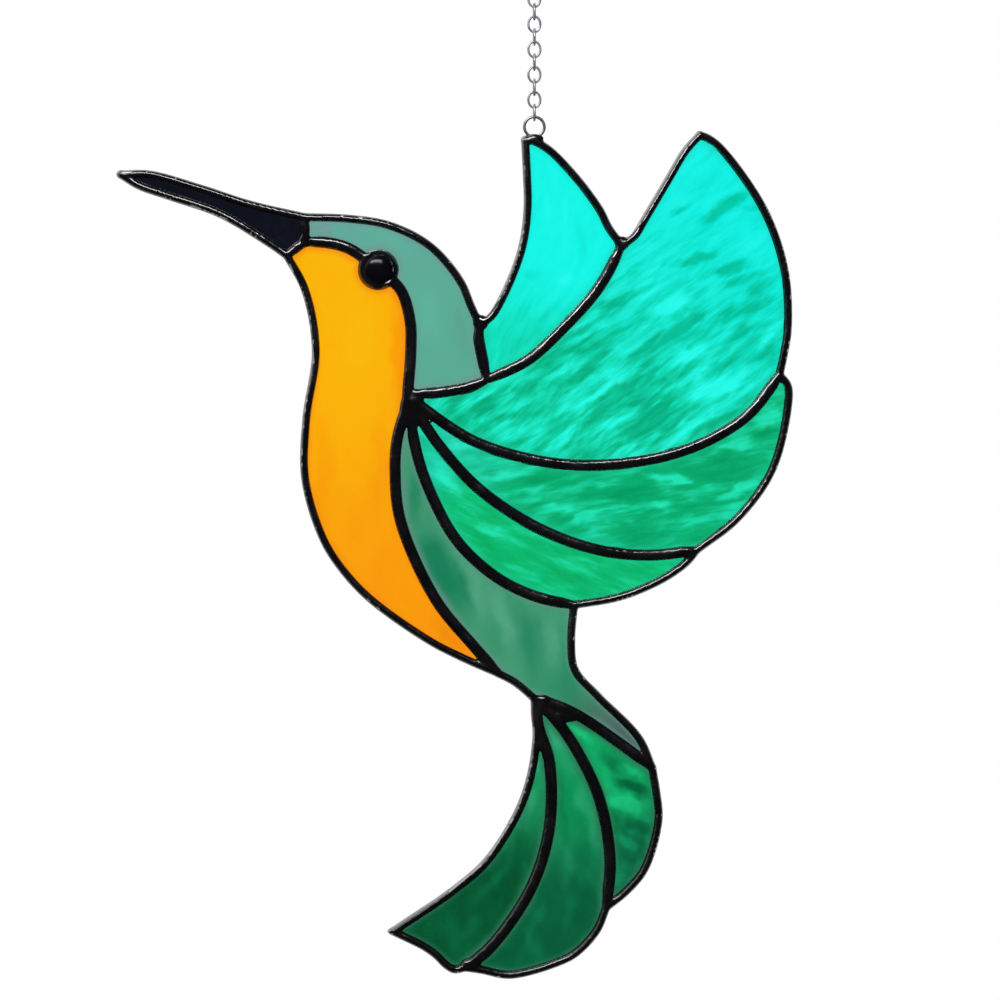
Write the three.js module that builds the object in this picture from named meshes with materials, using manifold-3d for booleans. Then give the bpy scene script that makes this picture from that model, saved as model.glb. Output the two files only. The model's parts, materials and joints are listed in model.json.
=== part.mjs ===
// A hummingbird suncatcher: eleven coloured acrylic panes held in one network of black solder lines,
// with a domed eye set in the solder and a small chain that ends in a ring to hang it by.
// Millimetres, +Z up. The bird lies in the XZ plane and its front faces -Y. The origin is the top of
// the hanging ring's inside, where a hook or nail carries it, and the chain hangs straight below it.
import * as THREE from 'three';
import { mergeVertices } from 'three/addons/utils/BufferGeometryUtils.js';
import Module from 'manifold-3d';

const wasm = await Module();
wasm.setup();

// The bird's height, from the front wing's tip to the tail's foot along the lines' middles, drives
// its whole drawing
const birdHeight = 208.2;

// Panes
const paneThickness = 3;

// Solder lines: inner seams, the rim round the outside, and how far the bead stands off the panes
const seamWidth = 2.8;
const rimWidth = 2;
const beadHeight = 0.8;
const beadEdge = 0.3;
const beadCrownShare = 0.55;

// The grooves that hold the panes
const seamWeb = 0.8;
const rimWall = 0.7;
const edgeClearance = 0.3;
const faceClearance = 0.15;

// Solder pools where lines meet, as a share of the widest line there, and the large ones
const poolShare = 1.12;
const rootPoolWidth = 6.2;
const rootPoolHeight = 9.6;
const tailPoolWidth = 6.4;
const tailPoolHeight = 5;
const napePoolWidth = 3.8;
const footPoolWidth = 5;
const footPoolHeight = 3;
const lugWidth = 4.8;
const lugHeight = 2.7;
const largePoolRise = 0.3;

// Eye: a cabochon in a solder bezel
const gemRadius = 3.6;
const gemGirdle = 0.15;
const gemRise = 1.5;
const gemClearance = 0.15;
const bezelWidth = 1.5;
const bezelRise = 0.3;
const bezelOverPane = 0.4;

// Jump ring, sunk in a lug of solder at the tip of the back wing
const jumpRingRadius = 2.5;
const jumpRingWire = 0.75;

// Chain and hanging ring
const linkCount = 11;
const linkLength = 4.5;
const linkWidth = 3.6;
const linkWire = 0.6;
const hangingRingInside = 10;
const hangingRingWire = 1;
const chainClearance = 0.15;

// How finely curves are cut into flats
const turnSamples = 60;
const turnPerStep = THREE.MathUtils.degToRad(15);
const longestStep = 18;
const poolSides = 8;
const roundSides = 16;
const domeSteps = 3;
const ringSteps = 20;
const linkSteps = 8;
const wireSides = 6;
const weldDistance = 1e-4;

const halfPane = paneThickness / 2;
const halfBead = halfPane + beadHeight;
const halfBeadEdge = halfPane + beadEdge;
const bezelRadius = gemRadius + bezelWidth;

// Heights down the chain, each from the piece above it
const hangingRingRadius = (hangingRingInside + hangingRingWire) / 2;
const hangingRingZ = -hangingRingInside / 2;
const linkReach = (linkLength - linkWire) / 2;
const linkPitch = linkLength - 2 * linkWire - chainClearance;
const firstLinkZ = -hangingRingInside + chainClearance + linkWire / 2 - linkReach;
const lastLinkZ = firstLinkZ - (linkCount - 1) * linkPitch;
const jumpRingTop = lastLinkZ - linkReach + (linkWire + jumpRingWire) / 2 + chainClearance;
const jumpRingZ = jumpRingTop - jumpRingRadius;
const lugZ = jumpRingZ - jumpRingRadius;

// The drawing: how far each point is right of the beak's tip and down from the front wing's tip
const joints = {
  beakTip: [1.1, 11.4],
  beakTop: [46.8, 21.9],
  brow: [47.1, 28],
  throat: [42.5, 31.5],
  eye: [65.3, 35],
  nape: [90.6, 48.6],
  shoulder: [92.4, 62.5],
  backWingTip: [102, 2.5],
  wingNotch: [126.2, 28.8],
  frontWingTip: [145.8, 1.1],
  upperFeatherEnd: [165.9, 61.2],
  middleFeatherEnd: [145, 105.1],
  lowerFeatherEnd: [114.3, 118.8],
  belly: [95.4, 135.9],
  tailRoot: [104.5, 142.3],
  rumpEnd: [133.9, 159.5],
  tailTip: [69, 200.2],
  innerFeatherEnd: [87, 209.3],
  outerFeatherEnd: [122.4, 194.4],
};
const root = {
  centre: [73.8, 69.8],
  left: [72.3, 69],
  top: [73.6, 66],
  upper: [75, 68],
  middle: [74.8, 70.4],
  lower: [73.6, 72.4],
};
const napePool = [90.9, 48.2];
const tailPool = [105.6, 143.1];
const footPool = [88.4, 208.5];
const lugPool = [104.2, 2];

// Where the jump ring's wire is sunk in the lug
const lug = [104.35, 1.7];
const scale = birdHeight / (joints.innerFeatherEnd[1] - joints.frontWingTip[1]);

// Where a point of the drawing lies on the real bird
function place([right, down]) {
  return new THREE.Vector3((right - lug[0]) * scale, 0, lugZ - (down - lug[1]) * scale);
}

// How many straight steps a curve needs, from how far it turns in all and from its length
function stepsOf(path) {
  let turn = 0;
  for (let i = 0; i < turnSamples; i += 1) {
    turn += path.getTangentAt(i / turnSamples).angleTo(path.getTangentAt((i + 1) / turnSamples));
  }
  return Math.max(1, Math.ceil(turn / turnPerStep), Math.ceil(path.getLength() / longestStep));
}

// A solder line runs from joint to joint through the points between them, as a smooth spline.
// Its inset is how far inside its centre line the edge of a pane lies.
function line(from, between, to, width, inset) {
  const points = [from, ...between, to].map(place);
  const path = new THREE.CatmullRomCurve3(points, false, 'centripetal');
  return { ends: [from, to], path, width, inset, steps: stepsOf(path) };
}

// A line between two panes
function seam(from, between, to) {
  return line(from, between, to, seamWidth, seamWeb / 2 + edgeClearance);
}

// A line round the outside, with a pane on one side only
function rim(from, between, to) {
  return line(from, between, to, rimWidth, rimWall + edgeClearance - rimWidth / 2);
}

const seams = {
  beakUpper: rim(joints.beakTip, [[8.3, 11.4], [20.8, 14.8], [33.3, 18.8]], joints.beakTop),
  beakLower: rim(
    joints.throat,
    [[38.3, 28.6], [25.9, 21.2], [13.2, 16.8], [5.7, 14.2]],
    joints.beakTip,
  ),
  beakBaseUpper: seam(joints.beakTop, [[47, 24.8]], joints.brow),
  beakBaseLower: seam(joints.brow, [[45, 29.5]], joints.throat),
  crownTop: rim(
    joints.beakTop,
    [[58.3, 22.3], [68.3, 24], [78.3, 29.1], [85.8, 37.8], [88.5, 44]],
    joints.nape,
  ),
  browLine: seam(
    joints.brow,
    [[53.3, 28.4], [58.3, 29.9], joints.eye, [70.8, 40], [73.2, 47.5], [73.4, 56]],
    root.left,
  ),
  neck: seam(joints.nape, [[90.4, 52], [91, 55.5]], joints.shoulder),
  crownBottom: seam(joints.shoulder, [[88, 64.3], [80.8, 65.6]], root.top),
  backWingLeft: rim(
    joints.nape,
    [[93.4, 46.8], [96.3, 42.1], [101.1, 30], [102.6, 20], [102.4, 10]],
    joints.backWingTip,
  ),
  backWingRight: rim(
    joints.backWingTip,
    [[104, 2.7], [108.1, 5], [115.3, 12.5], [120.8, 20], [122.9, 24.2]],
    joints.wingNotch,
  ),
  wingSeam: seam(
    joints.shoulder,
    [[102.9, 57.4], [114, 47], [118.5, 42], [122, 37]],
    joints.wingNotch,
  ),
  frontWingInner: rim(
    joints.wingNotch,
    [[129.5, 26.4], [131.7, 22.8], [138.1, 12], [142.3, 5]],
    joints.frontWingTip,
  ),
  frontWingOuter: rim(
    joints.frontWingTip,
    [[148.1, 2], [151.6, 4.9], [162.1, 20], [167.2, 35], [168, 49.5], [167, 56]],
    joints.upperFeatherEnd,
  ),
  upperFeather: seam(
    joints.upperFeatherEnd,
    [[157.8, 71.3], [145.5, 78.7], [130.7, 82.8], [110.8, 83.5], [91, 78.6], [80.3, 72.3]],
    root.upper,
  ),
  middleOuter: rim(
    joints.upperFeatherEnd,
    [[167.9, 63.6], [168.2, 67.5], [164.1, 84.8], [155.4, 97]],
    joints.middleFeatherEnd,
  ),
  middleFeather: seam(
    joints.middleFeatherEnd,
    [[133.3, 106.3], [120.8, 105.1], [105.9, 99.8], [90.8, 90], [80.4, 78.7]],
    root.middle,
  ),
  lowerOuter: rim(
    joints.middleFeatherEnd,
    [[142.4, 108.2], [135.9, 112.6], [125.9, 116.7]],
    joints.lowerFeatherEnd,
  ),
  wingRump: seam(
    joints.lowerFeatherEnd,
    [[104.6, 116.6], [94.7, 111.7], [84.7, 102.3], [77.1, 87.6], [74.2, 77.5]],
    root.lower,
  ),
  breastOuter: rim(
    joints.throat,
    [
      [47, 40], [49.7, 55], [47.3, 72.5], [47.1, 87.5], [51.8, 102.7], [57.3, 111], [63.9, 117.7],
      [78, 127.6], [85.7, 131.6],
    ],
    joints.belly,
  ),
  breastRump: seam(
    root.left,
    [[70, 77.5], [69.5, 85], [70.8, 97.5], [79.6, 117.3], [89.3, 129.2]],
    joints.belly,
  ),
  vent: rim(joints.belly, [[99.5, 138.1]], joints.tailRoot),
  rumpOuter: rim(
    joints.lowerFeatherEnd,
    [[113.6, 127.5], [114.5, 135], [120, 141.3], [130.5, 152]],
    joints.rumpEnd,
  ),
  rumpTail: seam(joints.tailRoot, [[110.3, 144], [115.9, 146.7], [125.8, 153.4]], joints.rumpEnd),
  tailInnerEdge: rim(
    joints.tailRoot,
    [[104.7, 153.8], [101.6, 167.4], [92.9, 182.2], [84.8, 189.5]],
    joints.tailTip,
  ),
  tailInner: seam(
    joints.tailRoot,
    [[105.4, 149.3], [108.1, 158], [108, 175], [103.3, 189.9], [93.1, 204.5]],
    joints.innerFeatherEnd,
  ),
  tailOuter: seam(
    joints.tailRoot,
    [[109.2, 146.9], [114.8, 154.8], [120.7, 167.5], [123.3, 182.5]],
    joints.outerFeatherEnd,
  ),
  tailOuterEdge: rim(
    joints.rumpEnd,
    [[134.9, 165.3], [135.5, 172.5], [132, 184.8], [127.4, 190.4]],
    joints.outerFeatherEnd,
  ),
  tailMiddleEnd: rim(
    joints.outerFeatherEnd,
    [[120, 200.1], [115, 205.6], [110.8, 207.9], [98.3, 211.2], [91, 209.9]],
    joints.innerFeatherEnd,
  ),
  tailInnerEnd: rim(
    joints.innerFeatherEnd,
    [[84.3, 209.8], [82.2, 208.6], [80, 206.4], [77, 204.2]],
    joints.tailTip,
  ),
};

// Each pane's colour and the seams round it in order, with a minus where a seam is followed backwards
const panes = {
  beak: [0x07080f, ['beakUpper', 'beakBaseUpper', 'beakBaseLower', 'beakLower']],
  crown: [0x58a892, ['crownTop', 'neck', 'crownBottom', '-browLine', '-beakBaseUpper']],
  breast: [0xffa908, ['-beakBaseLower', 'browLine', 'breastRump', '-breastOuter']],
  back_wing: [0x14e8cc, ['backWingLeft', 'backWingRight', '-wingSeam', '-neck']],
  wing_upper: [
    0x12d8bc,
    ['wingSeam', 'frontWingInner', 'frontWingOuter', 'upperFeather', '-crownBottom'],
  ],
  wing_middle: [0x0fb681, ['middleOuter', 'middleFeather', '-upperFeather']],
  wing_lower: [0x0cbf70, ['lowerOuter', 'wingRump', '-middleFeather']],
  rump: [0x4a9f7c, ['-wingRump', 'rumpOuter', '-rumpTail', '-vent', '-breastRump']],
  tail_inner: [0x0f8f52, ['tailInner', 'tailInnerEnd', '-tailInnerEdge']],
  tail_middle: [0x0b7a48, ['tailOuter', 'tailMiddleEnd', '-tailInner']],
  tail_outer: [0x12b469, ['rumpTail', 'tailOuterEdge', '-tailOuter']],
};

function acrylic(color) {
  return new THREE.MeshStandardMaterial({ color, roughness: 0.15, metalness: 0 });
}

const solder = new THREE.MeshStandardMaterial({ color: 0x0b0b10, roughness: 0.3, metalness: 0.6 });
const gunmetal = new THREE.MeshStandardMaterial({ color: 0x6c6c72, roughness: 0.35, metalness: 0.9 });

// A closed geometry as a solid for joining and cutting, with its shared vertices merged
function toSolid(geometry) {
  const bare = geometry.clone();
  bare.deleteAttribute('normal');
  bare.deleteAttribute('uv');
  const merged = mergeVertices(bare, weldDistance);
  const corners = [];
  for (let i = 0; i < merged.index.count; i += 3) {
    const [a, b, c] = [merged.index.getX(i), merged.index.getX(i + 1), merged.index.getX(i + 2)];
    if (a !== b && b !== c && c !== a) corners.push(a, b, c);
  }
  return new wasm.Manifold(
    new wasm.Mesh({
      numProp: 3,
      vertProperties: new Float32Array(merged.attributes.position.array),
      triVerts: new Uint32Array(corners),
    }),
  );
}

function toGeometry(solid) {
  const { vertProperties, triVerts } = solid.getMesh();
  const geometry = new THREE.BufferGeometry();
  geometry.setAttribute('position', new THREE.BufferAttribute(new Float32Array(vertProperties), 3));
  geometry.setIndex(new THREE.BufferAttribute(new Uint32Array(triVerts), 1));
  return geometry;
}

function joined(solids) {
  return solids.reduce((whole, next) => whole.add(next));
}

// A profile of [radius, depth] pairs turned about the Y axis
function turned(profile, sides) {
  return new THREE.LatheGeometry(profile.map(([radius, depth]) => new THREE.Vector2(radius, depth)), sides);
}

// A flat plate of the thickness given, half of it on each side of Y = 0, from an outline of X and Z
function plate(outline, thickness) {
  const shape = new THREE.Shape(outline);
  const geometry = new THREE.ExtrudeGeometry(shape, { depth: thickness, bevelEnabled: false });
  return geometry.rotateX(Math.PI / 2).translate(0, thickness / 2, 0);
}

// The bead's section: a low chamfered bar that stands off both faces of the panes
function beadSection(width) {
  const half = width / 2;
  const crown = half * beadCrownShare;
  return new THREE.Shape([
    new THREE.Vector2(halfBeadEdge, half),
    new THREE.Vector2(halfBead, crown),
    new THREE.Vector2(halfBead, -crown),
    new THREE.Vector2(halfBeadEdge, -half),
    new THREE.Vector2(-halfBeadEdge, -half),
    new THREE.Vector2(-halfBead, -crown),
    new THREE.Vector2(-halfBead, crown),
    new THREE.Vector2(-halfBeadEdge, half),
  ]);
}

function strip({ path, width, steps }) {
  const section = beadSection(width);
  return toSolid(new THREE.ExtrudeGeometry(section, { steps, extrudePath: path, bevelEnabled: false }));
}

// A round pool of solder, the same on both faces
function pool(centre, width, height, rise, sides = poolSides) {
  const top = halfBead + rise;
  const profile = [
    [0, -top],
    [beadCrownShare, -top],
    [1, -halfBeadEdge],
    [1, halfBeadEdge],
    [beadCrownShare, top],
    [0, top],
  ];
  const { x, z } = centre;
  return toSolid(turned(profile, sides).scale(width / 2, 1, height / 2).translate(x, 0, z));
}

// One side of a pane: its seam's points moved sideways, with both ends run on to meet the next sides
function shiftedSide(points, shift, runOn) {
  const last = points.length - 1;
  const moved = points.map((point, i) => {
    const ahead = points[Math.min(i + 1, last)].clone().sub(points[Math.max(i - 1, 0)]).normalize();
    return new THREE.Vector2(point.x - ahead.y * shift, point.y + ahead.x * shift);
  });
  const start = moved[0].clone().sub(moved[1]).setLength(runOn).add(moved[0]);
  const end = moved[last].clone().sub(moved[last - 1]).setLength(runOn).add(moved[last]);
  return [start, ...moved, end];
}

// A share of a stretch, with a little over at both ends for two sides that meet at a point of both
function within(share) {
  return share > -weldDistance && share < 1 + weldDistance;
}

// Where side a, read from its end, first crosses side b
function crossing(a, b) {
  for (let i = a.length - 2; i >= 0; i -= 1) {
    for (let j = 0; j < b.length - 1; j += 1) {
      const along = a[i + 1].clone().sub(a[i]);
      const across = b[j + 1].clone().sub(b[j]);
      const gap = b[j].clone().sub(a[i]);
      const turn = along.cross(across);
      const onA = gap.cross(across) / turn;
      const onB = gap.cross(along) / turn;
      if (within(onA) && within(onB)) {
        return { point: along.multiplyScalar(onA).add(a[i]), leave: i, enter: j + 1 };
      }
    }
  }
  throw new Error('two sides of a pane do not meet');
}

// A pane's outline, inside the centre lines of its seams by each seam's inset less the growth given
function paneOutline(names, growth) {
  const sides = names.map((name) => {
    const { path, steps, inset } = seams[name.replace('-', '')];
    const points = path.getSpacedPoints(steps).map(({ x, z }) => new THREE.Vector2(x, z));
    return { points: name.startsWith('-') ? points.reverse() : points, inset };
  });
  const inward = THREE.ShapeUtils.area(sides.flatMap(({ points }) => points)) > 0 ? 1 : -1;
  const runOn = rootPoolHeight;
  const edges = sides.map(({ points, inset }) => shiftedSide(points, inward * (inset - growth), runOn));
  const corners = edges.map((edge, i) => crossing(edge, edges[(i + 1) % edges.length]));
  return edges.flatMap((edge, i) => {
    const before = corners[(i + edges.length - 1) % edges.length];
    return [before.point, ...edge.slice(before.enter, corners[i].leave + 1)];
  });
}

// The hole round the eye that the panes beside it leave
function eyeCut(radius) {
  const { x, z } = place(joints.eye);
  const depth = 2 * halfBead;
  const profile = [[0, -depth], [radius, -depth], [radius, depth], [0, depth]];
  return toSolid(turned(profile, roundSides).translate(x, 0, z));
}

function paneSolid(names, edgeGrowth, faceGrowth) {
  const solid = toSolid(plate(paneOutline(names, edgeGrowth), paneThickness + 2 * faceGrowth));
  return names.some((name) => name.endsWith('browLine'))
    ? solid.subtract(eyeCut(bezelRadius - bezelOverPane - edgeGrowth))
    : solid;
}

// The eye's cabochon: a flat back, a girdle under the bezel's lip and a dome in front
function gem(growth) {
  const girdle = gemRadius + gemGirdle + growth;
  const front = halfBead + bezelRise;
  const back = halfBead + bezelRise + growth;
  const profile = [[0, back], [gemRadius + growth, back], [girdle, halfPane], [girdle, -halfPane]];
  for (let step = 0; step <= domeSteps; step += 1) {
    const angle = (step / domeSteps) * (Math.PI / 2);
    profile.push([(gemRadius + growth) * Math.cos(angle), -front - (gemRise + growth) * Math.sin(angle)]);
  }
  // The dome's last point lies on the axis, to close the solid there
  profile[profile.length - 1][0] = 0;
  const { x, z } = place(joints.eye);
  return turned(profile.reverse(), roundSides).translate(x, 0, z);
}

// A ring of round wire in the XZ plane
function wireRing(radius, wire, z) {
  const geometry = new THREE.TorusGeometry(radius, wire / 2, wireSides, ringSteps);
  return geometry.rotateX(Math.PI / 2).translate(0, 0, z);
}

// A chain link: a wire ring pulled out into two half circles and two straight sides
function link(index) {
  const radius = (linkWidth - linkWire) / 2;
  const straight = linkLength - linkWidth;
  const geometry = new THREE.TorusGeometry(radius, linkWire / 2, wireSides, linkSteps);
  geometry.rotateZ(Math.PI / linkSteps);
  const position = geometry.attributes.position;
  for (let i = 0; i < position.count; i += 1) {
    position.setY(i, position.getY(i) + (Math.sign(position.getY(i)) * straight) / 2);
  }
  geometry.rotateX(Math.PI / 2);
  if (index % 2 === 0) geometry.rotateZ(Math.PI / 2);
  return geometry.translate(0, 0, firstLinkZ - index * linkPitch);
}

// The whole network of solder: strips, pools, bezel and lug, cut out for what they hold
function solderLines() {
  const strips = Object.values(seams).map(strip);
  const meetings = Object.values(joints).filter((joint) => joint !== joints.eye);
  const pools = meetings.map((joint) => {
    const lines = Object.values(seams).filter(({ ends }) => ends.includes(joint));
    const width = poolShare * Math.max(...lines.map((each) => each.width));
    return pool(place(joint), width, width, 0);
  });
  const bezelSize = 2 * bezelRadius;
  pools.push(
    pool(place(root.centre), rootPoolWidth, rootPoolHeight, largePoolRise, roundSides),
    pool(place(tailPool), tailPoolWidth, tailPoolHeight, largePoolRise),
    pool(place(napePool), napePoolWidth, napePoolWidth, 0),
    pool(place(footPool), footPoolWidth, footPoolHeight, 0),
    pool(place(lugPool), lugWidth, lugHeight, 0),
    pool(place(joints.eye), bezelSize, bezelSize, bezelRise, roundSides),
  );
  const held = Object.values(panes).map(([, names]) => paneSolid(names, edgeClearance, faceClearance));
  const ring = toSolid(wireRing(jumpRingRadius, jumpRingWire + 2 * chainClearance, jumpRingZ));
  return joined([...strips, ...pools])
    .subtract(joined(held))
    .subtract(toSolid(gem(gemClearance)))
    .subtract(ring);
}

const suncatcher = new THREE.Group();

function addPiece(name, geometry, material) {
  const mesh = new THREE.Mesh(geometry, material);
  mesh.name = name;
  suncatcher.add(mesh);
}

addPiece('solder_lines', toGeometry(solderLines()), solder);
for (const [name, [color, names]] of Object.entries(panes)) {
  addPiece(`pane_${name}`, toGeometry(paneSolid(names, 0, 0)), acrylic(color));
}
addPiece('eye_gem', gem(0), acrylic(0x050507));
addPiece('jump_ring', wireRing(jumpRingRadius, jumpRingWire, jumpRingZ), gunmetal);
for (let index = 0; index < linkCount; index += 1) {
  addPiece(`chain_link_${String(linkCount - index).padStart(2, '0')}`, link(index), gunmetal);
}
addPiece('hanging_ring', wireRing(hangingRingRadius, hangingRingWire, hangingRingZ), gunmetal);

export default suncatcher;
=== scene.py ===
"""The looks of a hummingbird suncatcher: acrylic panes in black solder lines, an eye and a chain.

The frame gives where everything is. The solder and the panes are worked out on a square grid over the
bird's plane, in millimetres, where X runs right and Z up, and the bird's front faces -Y.
"""

import json
import math

import bpy
import numpy as np
from bpy.props import FloatProperty, FloatVectorProperty, PointerProperty
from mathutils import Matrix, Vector


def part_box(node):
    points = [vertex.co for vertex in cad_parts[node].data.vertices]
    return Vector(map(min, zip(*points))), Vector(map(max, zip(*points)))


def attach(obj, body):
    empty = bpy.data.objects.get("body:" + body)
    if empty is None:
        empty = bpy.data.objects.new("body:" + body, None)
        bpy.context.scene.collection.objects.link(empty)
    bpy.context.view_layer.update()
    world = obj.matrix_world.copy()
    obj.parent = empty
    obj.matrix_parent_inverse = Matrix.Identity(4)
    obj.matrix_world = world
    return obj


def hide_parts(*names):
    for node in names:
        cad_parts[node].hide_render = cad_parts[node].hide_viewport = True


bl_info = {
    "name": "Hummingbird suncatcher",
    "version": (1, 0, 0),
    "blender": (4, 5, 0),
    "location": "3D View > Sidebar > Suncatcher",
    "description": "Panes, solder lines, eye, chain and studio of a hummingbird suncatcher",
    "category": "Object",
}

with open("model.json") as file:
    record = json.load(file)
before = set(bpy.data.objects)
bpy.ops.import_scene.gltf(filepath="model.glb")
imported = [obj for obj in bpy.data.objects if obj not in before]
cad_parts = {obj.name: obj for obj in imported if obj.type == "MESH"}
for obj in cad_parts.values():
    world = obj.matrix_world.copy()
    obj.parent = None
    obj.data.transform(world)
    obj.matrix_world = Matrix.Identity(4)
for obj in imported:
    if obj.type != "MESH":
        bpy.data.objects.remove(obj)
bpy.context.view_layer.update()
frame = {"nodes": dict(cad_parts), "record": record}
MM = 0.001
# How far apart the points of the solder's and the panes' grids are, in millimetres
GRID_STEP = 0.4
# Edges that turn by more than this stay sharp
SHARP_ANGLE = math.radians(50)

# The drawing, as the construction has it: how far each point is right of the beak's tip and down
# from the front wing's tip, in millimetres
LUG = (104.35, 1.7)
JOINTS = {
    "beak_tip": (1.1, 11.4),
    "beak_top": (46.8, 21.9),
    "brow": (47.1, 28),
    "throat": (42.5, 31.5),
    "eye": (65.3, 35),
    "nape": (90.6, 48.6),
    "shoulder": (92.4, 62.5),
    "back_wing_tip": (102, 2.5),
    "wing_notch": (126.2, 28.8),
    "front_wing_tip": (145.8, 1.1),
    "upper_feather_end": (165.9, 61.2),
    "middle_feather_end": (145, 105.1),
    "lower_feather_end": (114.3, 118.8),
    "belly": (95.4, 135.9),
    "tail_root": (104.5, 142.3),
    "rump_end": (133.9, 159.5),
    "tail_tip": (69, 200.2),
    "inner_feather_end": (87, 209.3),
    "outer_feather_end": (122.4, 194.4),
    "root_left": (72.3, 69),
    "root_top": (73.6, 66),
    "root_upper": (75, 68),
    "root_middle": (74.8, 70.4),
    "root_lower": (73.6, 72.4),
}
RIMS = {
    "beak_upper": ("beak_tip", [(8.3, 11.4), (20.8, 14.8), (33.3, 18.8)], "beak_top"),
    "beak_lower": ("throat", [(38.3, 28.6), (25.9, 21.2), (13.2, 16.8), (5.7, 14.2)], "beak_tip"),
    "crown_top": ("beak_top", [(58.3, 22.3), (68.3, 24), (78.3, 29.1), (85.8, 37.8), (88.5, 44)], "nape"),
    "back_wing_left": (
        "nape", [(93.4, 46.8), (96.3, 42.1), (101.1, 30), (102.6, 20), (102.4, 10)], "back_wing_tip",
    ),
    "back_wing_right": (
        "back_wing_tip", [(104, 2.7), (108.1, 5), (115.3, 12.5), (120.8, 20), (122.9, 24.2)], "wing_notch",
    ),
    "front_wing_inner": (
        "wing_notch", [(129.5, 26.4), (131.7, 22.8), (138.1, 12), (142.3, 5)], "front_wing_tip",
    ),
    "front_wing_outer": (
        "front_wing_tip",
        [(148.1, 2), (151.6, 4.9), (162.1, 20), (167.2, 35), (168, 49.5), (167, 56)],
        "upper_feather_end",
    ),
    "middle_outer": (
        "upper_feather_end", [(167.9, 63.6), (168.2, 67.5), (164.1, 84.8), (155.4, 97)],
        "middle_feather_end",
    ),
    "lower_outer": (
        "middle_feather_end", [(142.4, 108.2), (135.9, 112.6), (125.9, 116.7)], "lower_feather_end",
    ),
    "breast_outer": (
        "throat",
        [
            (47, 40), (49.7, 55), (47.3, 72.5), (47.1, 87.5), (51.8, 102.7), (57.3, 111),
            (63.9, 117.7), (78, 127.6), (85.7, 131.6),
        ],
        "belly",
    ),
    "vent": ("belly", [(99.5, 138.1)], "tail_root"),
    "rump_outer": (
        "lower_feather_end", [(113.6, 127.5), (114.5, 135), (120, 141.3), (130.5, 152)], "rump_end",
    ),
    "tail_inner_edge": (
        "tail_root", [(104.7, 153.8), (101.6, 167.4), (92.9, 182.2), (84.8, 189.5)], "tail_tip",
    ),
    "tail_outer_edge": (
        "rump_end", [(134.9, 165.3), (135.5, 172.5), (132, 184.8), (127.4, 190.4)], "outer_feather_end",
    ),
    "tail_middle_end": (
        "outer_feather_end", [(120, 200.1), (115, 205.6), (110.8, 207.9), (98.3, 211.2), (91, 209.9)],
        "inner_feather_end",
    ),
    "tail_inner_end": (
        "inner_feather_end", [(84.3, 209.8), (82.2, 208.6), (80, 206.4), (77, 204.2)], "tail_tip",
    ),
}
SEAMS = {
    "beak_base_upper": ("beak_top", [(47, 24.8)], "brow"),
    "beak_base_lower": ("brow", [(45, 29.5)], "throat"),
    "brow_line": (
        "brow",
        [(53.3, 28.4), (58.3, 29.9), (65.3, 35), (70.8, 40), (73.2, 47.5), (73.4, 56)],
        "root_left",
    ),
    "neck": ("nape", [(90.4, 52), (91, 55.5)], "shoulder"),
    "crown_bottom": ("shoulder", [(88, 64.3), (80.8, 65.6)], "root_top"),
    "wing_seam": ("shoulder", [(102.9, 57.4), (114, 47), (118.5, 42), (122, 37)], "wing_notch"),
    "upper_feather": (
        "upper_feather_end",
        [(157.8, 71.3), (145.5, 78.7), (130.7, 82.8), (110.8, 83.5), (91, 78.6), (80.3, 72.3)],
        "root_upper",
    ),
    "middle_feather": (
        "middle_feather_end",
        [(133.3, 106.3), (120.8, 105.1), (105.9, 99.8), (90.8, 90), (80.4, 78.7)],
        "root_middle",
    ),
    "wing_rump": (
        "lower_feather_end",
        [(104.6, 116.6), (94.7, 111.7), (84.7, 102.3), (77.1, 87.6), (74.2, 77.5)],
        "root_lower",
    ),
    "breast_rump": (
        "root_left", [(70, 77.5), (69.5, 85), (70.8, 97.5), (79.6, 117.3), (89.3, 129.2)], "belly",
    ),
    "rump_tail": ("tail_root", [(110.3, 144), (115.9, 146.7), (125.8, 153.4)], "rump_end"),
    "tail_inner": (
        "tail_root", [(105.4, 149.3), (108.1, 158), (108, 175), (103.3, 189.9), (93.1, 204.5)],
        "inner_feather_end",
    ),
    "tail_outer": (
        "tail_root", [(109.2, 146.9), (114.8, 154.8), (120.7, 167.5), (123.3, 182.5)],
        "outer_feather_end",
    ),
}
# Pools of solder: their middle in the drawing, then width, height and extra rise in millimetres
POOLS = {
    "wing_root": ((73.8, 69.8), 6.2, 9.6, 0.3),
    "tail_root": ((106.4, 143.3), 5.2, 4.2, 0.15),
    "tail_fork": ((112.6, 146.4), 6.6, 3.3, 0),
    "nape": ((90.9, 48.2), 3.8, 3.8, 0),
    "wing_notch": ((126.3, 28.3), 3.4, 3.4, 0),
    "tail_foot": ((88.4, 208.5), 5, 3, 0),
    "tail_tip": ((68.5, 200.2), 1.8, 1.2, 0),
    "beak_tip": ((1.5, 11.5), 2.2, 2, 0),
    "brow": ((46.9, 27.9), 3.2, 3.2, 0),
    "lug": ((104.2, 2.2), 4.8, 2.3, 0),
}


def middle_of(node):
    """The middle of a CAD node's box, in millimetres."""
    low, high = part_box(node)
    return (np.array(low) + np.array(high)) / 2 / MM


def thickness_of(node):
    """How deep a CAD node is from front to back, in millimetres."""
    low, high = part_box(node)
    return (high.y - low.y) / MM


# Where the drawing lies: the jump ring and the eye's gem fix its scale and its place
RING_X = middle_of("jump_ring")[0]
EYE_X, _, EYE_Z = middle_of("eye_gem")
DRAWN = (RING_X - EYE_X) / (LUG[0] - JOINTS["eye"][0])


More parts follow.
